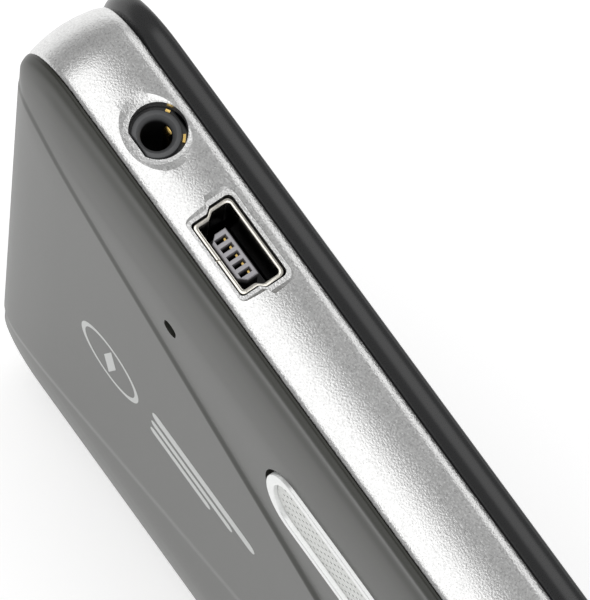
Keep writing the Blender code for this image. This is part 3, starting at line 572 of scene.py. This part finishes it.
band = sweep("band_shell", band_section(), step=1.2, n=18)
band = boolean(band, [
    dish(), usb_recess(),
    loft("cut_c", [flat_z(d_outline(2.375, 2.08, 72, JACK_X, HOLE_Y), z) for z in (80.0, 86.0)]),
    loft("cut_d", [flat_z(shell_outline(0.14), z) for z in (80.0, 86.0)]),
    loft("cut_e", [flat_z(rounded_rect(4.62, 1.32, 1.2, 8, POWER_X, POWER_Y), z) for z in (80.0, 86.0)]),
    loft("cut_f", [flat_z(rounded_rect(5.9, 0.75, 0.3, 4, CARD_X, CARD_Y), z) for z in (80.0, 86.0)])])
finish_piece(band, "band_satin", node="metal_band", angle=24)


# ------------------------------------------------------------------ front bezel
def bezel():
    def ring(hx, hz, r, y, n=14):
        return flat_y([(x, z + MID_Z) for x, z in rounded_rect(hx, hz, r, n)], y)
    hx, hz, r = HALF_X, MID_Z, 7.6
    outer = [(1.10, -3.45), (0.84, -3.455), (0.77, -3.49), (0.61, -3.62), (0.44, -3.80), (0.28, -4.00), (0.16, -4.25), (0.07, -4.52),
             (0.02, -4.78), (0.0, -5.0), (0.01, -5.2), (0.05, -5.38), (0.13, -5.54), (0.26, -5.65), (0.42, -5.695), (0.60, -5.70)]
    rings = [ring(hx - d, hz - d, r - d * 0.6, y) for d, y in outer]
    wx, wz = 55.35, 31.15
    rings += [ring(wx + 0.35, wz + 0.35, 1.0, -5.70), ring(wx + 0.12, wz + 0.12, 0.85, -5.64), ring(wx, wz, 0.8, -5.48),
              ring(wx, wz, 0.8, -5.0), ring(59.6, 36.4, 0.8, -5.0), ring(59.6, 36.4, 0.8, -3.45)]
    return loft("bezel_frame", rings, closed=True)


finish_piece(bezel(), "bezel_plastic", node="front_bezel", angle=30)

glass = loft("screen_glass", [flat_y([(x, z + MID_Z) for x, z in rounded_rect(59.3 - i, 36.1 - i, 0.8, 6)], y)
                              for i, y in ((0.0, -4.15), (0.0, -4.85), (0.10, -4.95))])
finish_piece(glass, "touch_glass", node="touch_panel", angle=20)


# ------------------------------------------------------------------ loudspeaker grille
def grille_ring():
    def ring(inset, y):
        return flat_y(oval_slot(GRILLE_X - inset, GRILLE_H - inset, GRILLE_END - 0.75 * inset, 20, 0, GRILLE_Z, 12), y)
    rings = [ring(0.0, 4.0), ring(0.0, 5.60), ring(0.02, 5.65), ring(0.06, 5.68), ring(0.12, 5.69), ring(0.50, 5.692),
             ring(0.86, 5.69), ring(0.92, 5.68), ring(0.96, 5.65), ring(0.98, 5.60), ring(1.0, 4.0)]
    return loft("grille_surround", rings, closed=True)


finish_piece(grille_ring(), "grille_silver", node="grille_frame", angle=40)


def perforated_sheet():
    """Fine sheet with round holes in a staggered pattern, each in its own cell."""
    pitch, hole, y0, y1 = 0.86, 0.145, 5.05, 5.27
    hx, hz, end = GRILLE_X - 1.03, GRILLE_H - 1.03, GRILLE_END - 0.78
    nx, nz = int(2 * hx / pitch), 11
    px, pz = 2 * hx / nx, 2 * hz / nz
    verts, faces = [], []

    def half_width(z):
        return hx - end + end * math.sqrt(max(1 - (z / hz) ** 2, 0.0))

    for r in range(nz):
        z0, z1 = -hz + r * pz, -hz + (r + 1) * pz
        shift = 0.5 if r % 2 else 0.0
        for c in range(-1, nx + 1):
            x0, x1 = -hx + (c + shift) * px, -hx + (c + 1 + shift) * px
            lim = min(half_width(z0), half_width(z1))
            zc, xc = (z0 + z1) / 2, (x0 + x1) / 2
            if max(abs(x0), abs(x1)) <= lim:
                border = [(x1, z0), (x1, zc), (x1, z1), (xc, z1), (x0, z1), (x0, zc), (x0, z0), (xc, z0)]
                ring = [(xc + hole * math.cos(a), zc + hole * math.sin(a)) for a in
                        (math.radians(-45 + 45 * i) for i in range(8))]
                base = len(verts)
                verts += [(x, y1, GRILLE_Z + z) for x, z in border + ring] + [(x, y0, GRILLE_Z + z) for x, z in ring]
                for i in range(8):
                    j = (i + 1) % 8
                    faces.append((base + i, base + j, base + 8 + j, base + 8 + i))
                    faces.append((base + 8 + i, base + 8 + j, base + 16 + j, base + 16 + i))
            else:
                for k in range(6):                    # short strips follow the round end
                    u0, u1 = z0 + (z1 - z0) * k / 6, z0 + (z1 - z0) * (k + 1) / 6
                    a0, a1 = max(x0, -half_width(u0)), min(x1, half_width(u0))
                    b0, b1 = max(x0, -half_width(u1)), min(x1, half_width(u1))
                    if a1 - a0 > 1e-3 or b1 - b0 > 1e-3:
                        base = len(verts)
                        verts += [(a0, y1, GRILLE_Z + u0), (max(a1, a0), y1, GRILLE_Z + u0),
                                  (max(b1, b0), y1, GRILLE_Z + u1), (b0, y1, GRILLE_Z + u1)]
                        faces.append((base, base + 1, base + 2, base + 3))
    mesh = bpy.data.meshes.new("grille_sheet")
    mesh.from_pydata([tuple(np.array(v) * MM) for v in verts], [], faces)
    bm = bmesh.new()
    bm.from_mesh(mesh)
    bmesh.ops.remove_doubles(bm, verts=bm.verts, dist=1e-7)
    bmesh.ops.dissolve_degenerate(bm, edges=bm.edges, dist=1e-8)
    bmesh.ops.recalc_face_normals(bm, faces=bm.faces)
    bm.to_mesh(mesh)
    bm.free()
    obj = bpy.data.objects.new("grille_sheet", mesh)
    scene.collection.objects.link(obj)
    return obj


finish_piece(perforated_sheet(), "grille_mesh_metal", node="grille_mesh", angle=40)


# ------------------------------------------------------------------ data socket
def usb_shell():
    rings = [flat_z(shell_outline(0.0), 75.0), flat_z(shell_outline(0.0), 83.33), flat_z(shell_outline(-0.03), 83.42),
             flat_z(shell_outline(-0.10), 83.45), flat_z(shell_outline(-0.25, 0.25, 0.35), 83.45),
             flat_z(shell_outline(-0.32, 0.22, 0.32), 83.41), flat_z(shell_outline(-0.35, 0.20, 0.30), 83.30),
             flat_z(shell_outline(-0.35, 0.20, 0.30), 75.0)]
    obj = loft("socket_shell", rings, closed=True)
    seam = block("cut_seam", (USB_X - 0.05, 1.70, 82.9), (USB_X + 0.05, 2.30, 84.0))
    for v in seam.data.vertices:                      # the sheet's seam runs slightly askew
        v.co.x += (v.co.y - 2.0 * MM) * 0.45
    return boolean(obj, [seam])


finish_piece(usb_shell(), "usb_nickel", node="usb_shell", angle=35)


def usb_tongue():
    def outline(i):
        return [(USB_X - 2.25 + i, -0.33 + i), (USB_X + 2.25 - i, -0.33 + i), (USB_X + 2.25 - i, 0.68), (USB_X + 1.68, 1.31 - i),
                (USB_X - 1.68, 1.31 - i), (USB_X - 2.25 + i, 0.68)]
    tongue = loft("socket_tongue", [flat_z(outline(0.0), 77.0), flat_z(outline(0.0), 81.82), flat_z(outline(0.07), 81.90)])
    base = block("tongue_base", (USB_X - 2.9, -1.30, 75.2), (USB_X + 2.9, 1.70, 77.6))
    boolean(tongue, [base], 'UNION')
    ways = [block("cut_way_%d" % k, (USB_X + (k - 2) * 0.8 - 0.235, -0.05, 74.0), (USB_X + (k - 2) * 0.8 + 0.235, 1.04, 83.0))
            for k in range(5)]
    return boolean(tongue, ways)


finish_piece(usb_tongue(), "usb_insulator", node="usb_insulator", angle=30)

for k in range(5):
    x = USB_X + (k - 2) * 0.8
    path = [(-0.01, 74.6), (-0.01, 79.0), (0.00, 80.6), (0.02, 81.15), (0.06, 81.35)]
    rings = []
    for y, z in path:
        rings.append([(x - 0.11, y, z), (x + 0.11, y, z), (x + 0.11, y + 0.13, z - 0.05), (x + 0.06, y + 0.17, z - 0.07),
                      (x - 0.06, y + 0.17, z - 0.07), (x - 0.11, y + 0.13, z - 0.05)])
    finish_piece(loft("contact_leaf_%d" % (k + 1), rings), "gold_contact", node="usb_contact_%d" % (k + 1), angle=35)


# ------------------------------------------------------------------ headphone socket
def jack():
    d = lambda r, f, z: flat_z(d_outline(r, f, 72, JACK_X, JACK_Y), z)
    barrel = loft("jack_barrel", [d(2.0, 1.65, 81.5), d(2.0, 1.65, 83.04), d(1.97, 1.62, 83.11), d(1.90, 1.56, 83.15)])
    body = bevel(block("jack_block", (JACK_X - 3.0, -2.42, 71.6), (JACK_X + 3.0, 2.20, 82.5)), 0.18, 2)
    boolean(barrel, [body], 'UNION')
    bore = revolve("cut_bore", [(0, 72.8), (1.28, 72.8), (1.28, 82.72), (1.33, 82.84), (1.50, 83.02), (1.56, 83.10), (1.64, 83.17),
                                (1.64, 83.5), (0, 83.5)], JACK_X, JACK_Y, 72)
    return boolean(barrel, [bore, block("cut_tip", (JACK_X - 0.55, -1.95, 73.4), (JACK_X + 0.55, -0.9, 82.2)),
                            block("cut_ring", (JACK_X - 0.55, 0.9, 73.4), (JACK_X + 0.55, 1.75, 79.5))])


finish_piece(jack(), "jack_plastic", node="jack_body", angle=30)


def leaf(name, path, half, thick):
    rings = []
    for i, (y, z) in enumerate(path):
        a = Vector(path[max(i - 1, 0)])
        b = Vector(path[min(i + 1, len(path) - 1)])
        t = (b - a).normalized()
        ny, nz = t[1] * thick / 2, -t[0] * thick / 2
        rings.append([(JACK_X - half, y - ny, z - nz), (JACK_X + half, y - ny, z - nz), (JACK_X + half, y + ny, z + nz),
                      (JACK_X - half, y + ny, z + nz)])
    return bevel(loft(name, rings), 0.03, 1, 50)


finish_piece(leaf("spring_tip", [(-1.60, 73.8), (-1.60, 77.0), (-1.52, 79.0), (-1.30, 80.2), (-1.08, 80.9), (-0.98, 81.3),
                                 (-1.02, 81.6), (-1.20, 81.9), (-1.42, 82.05)], 0.42, 0.14), "gold_contact", node="jack_contact_tip",
             angle=50)
finish_piece(leaf("spring_ring", [(1.48, 73.8), (1.45, 76.0), (1.30, 77.3), (1.12, 78.0), (1.22, 78.6), (1.42, 79.0)], 0.42, 0.14),
             "gold_contact", node="jack_contact_ring", angle=50)


def sleeve():
    pieces = []
    for a0, a1, z0, z1 in ((220, 238, 82.56, 82.86), (296, 306, 82.56, 82.84), (238, 296, 82.06, 82.24)):
        pts = []
        for r, rev in ((2.32, False), (2.10 if z1 > 82.6 else 2.26, True)):
            arc = [(JACK_X + r * math.cos(math.radians(a0 + (a1 - a0) * i / 8)), JACK_Y + r * math.sin(math.radians(a0 + (a1 - a0) * i / 8)))
                   for i in range(9)]
            pts += arc[::-1] if rev else arc
        pieces.append((pts, z0, z1))
    verts, faces = [], []
    for pts, z0, z1 in pieces:
        n, b = len(pts), len(verts)
        verts += flat_z(pts, z0) + flat_z(pts, z1)
        faces += ring_faces(n, b, b + n) + [tuple(range(b, b + n)), tuple(range(b + n, b + 2 * n))]
    return new_object("sleeve_clip", verts, faces)


finish_piece(sleeve(), "gold_contact", node="jack_contact_sleeve", angle=40)


# ------------------------------------------------------------------ power button
def button():
    def ring(i, z):
        return flat_z(rounded_rect(4.5 - i, 1.2 - i, 1.1 - i * 0.9, 8, POWER_X, POWER_Y), z)
    cap = loft("button_cap", [ring(0, 82.0), ring(0, 84.08), ring(0.05, 84.17), ring(0.16, 84.23), ring(0.32, 84.25)])
    flange = bevel(block("flange", (POWER_X - 5.4, POWER_Y - 1.7, 81.85), (POWER_X + 5.4, POWER_Y + 1.7, 82.53)), 0.1, 1)
    return boolean(cap, [flange], 'UNION')


finish_piece(button(), "button_silver", body="power_key", node="power_button", angle=30)


# ------------------------------------------------------------------ printed sign: a plain compass and bars
def sign():
    cx, cz = 41.5, 41.6
    m = lambda pts: [(cx - u, cz + v) for u, v in pts]
    circle = lambda r, n=48: [(-8.6 + r * math.cos(2 * math.pi * i / n), r * math.sin(2 * math.pi * i / n)) for i in range(n)]
    shapes = [m(circle(4.1)), m(circle(3.55)), m([(-8.6, 2.9), (-7.75, 0), (-8.6, -2.9), (-9.45, 0)])]
    for v, length, t in ((1.9, 14.6, 0.85), (-0.35, 11.6, 0.6), (-2.3, 8.6, 0.6)):
        shapes.append(m([(u - 2.6 + length / 2, w + v) for u, w in rounded_rect(length / 2, t, t * 0.98, 6)]))
    return prism("printed_sign", shapes, 5.698, 5.708)


finish_piece(sign(), "print_ink", angle=30)

# ------------------------------------------------------------------ floor, light, camera
bpy.ops.mesh.primitive_plane_add(size=14.0, location=(0, 0, 0))
floor = bpy.context.object
floor.name = "floor"
fm = bpy.data.materials.new("floor_white")
fm.use_nodes = True
fm.node_tree.nodes["Principled BSDF"].inputs["Base Color"].default_value = (0.93, 0.93, 0.93, 1)
fm.node_tree.nodes["Principled BSDF"].inputs["Roughness"].default_value = 0.9
fm.node_tree.nodes["Principled BSDF"].inputs["Emission Color"].default_value = (1, 1, 1, 1)
fm.node_tree.nodes["Principled BSDF"].inputs["Emission Strength"].default_value = 0.44
floor.data.materials.append(fm)

world = bpy.data.worlds.new("studio")
scene.world = world
world.use_nodes = True
world.node_tree.nodes["Background"].inputs["Color"].default_value = (1.0, 1.0, 1.0, 1)
world.node_tree.nodes["Background"].inputs["Strength"].default_value = 0.42


def area(name, loc, target, sx, sy, radiance):
    data = bpy.data.lights.new(name, 'AREA')
    data.shape = 'RECTANGLE'
    data.size, data.size_y = sx, sy
    data.energy = radiance * math.pi * sx * sy
    obj = bpy.data.objects.new(name, data)
    scene.collection.objects.link(obj)
    obj.location = loc
    obj.rotation_euler = (Vector(target) - Vector(loc)).to_track_quat('-Z', 'Y').to_euler()
    return obj


area("soft_top", (-0.05, 0.24, 1.35), (-0.05, 0.10, 0.06), 2.3, 0.92, 1.25)
area("soft_front", (0.10, -1.45, 0.78), (0, 0, 0.05), 2.4, 0.50, 1.3)
area("soft_side", (-1.35, 0.10, 0.62), (0, 0, 0.06), 0.50, 0.60, 0.9)

cam_data = bpy.data.cameras.new("camera")
cam = bpy.data.objects.new("camera", cam_data)
scene.collection.objects.link(cam)
r1 = Vector((-0.57846733, -0.81400056, 0.05271289))
r2 = Vector((-0.79003267, 0.5430049, -0.28459456))
r3 = Vector((0.20303677, -0.20627355, -0.95719762))
rot = Matrix((r1, -r2, -r3)).transposed()
cam.matrix_world = Matrix.Translation((-0.08922, 0.12706, 0.67801)) @ rot.to_4x4()
cam_data.lens = 479.067
cam_data.sensor_width = 36.0
cam_data.clip_start = 0.01
cam_data.clip_end = 60.0
scene.camera = cam
scene.view_settings.view_transform = 'Standard'
scene.view_settings.look = 'None'
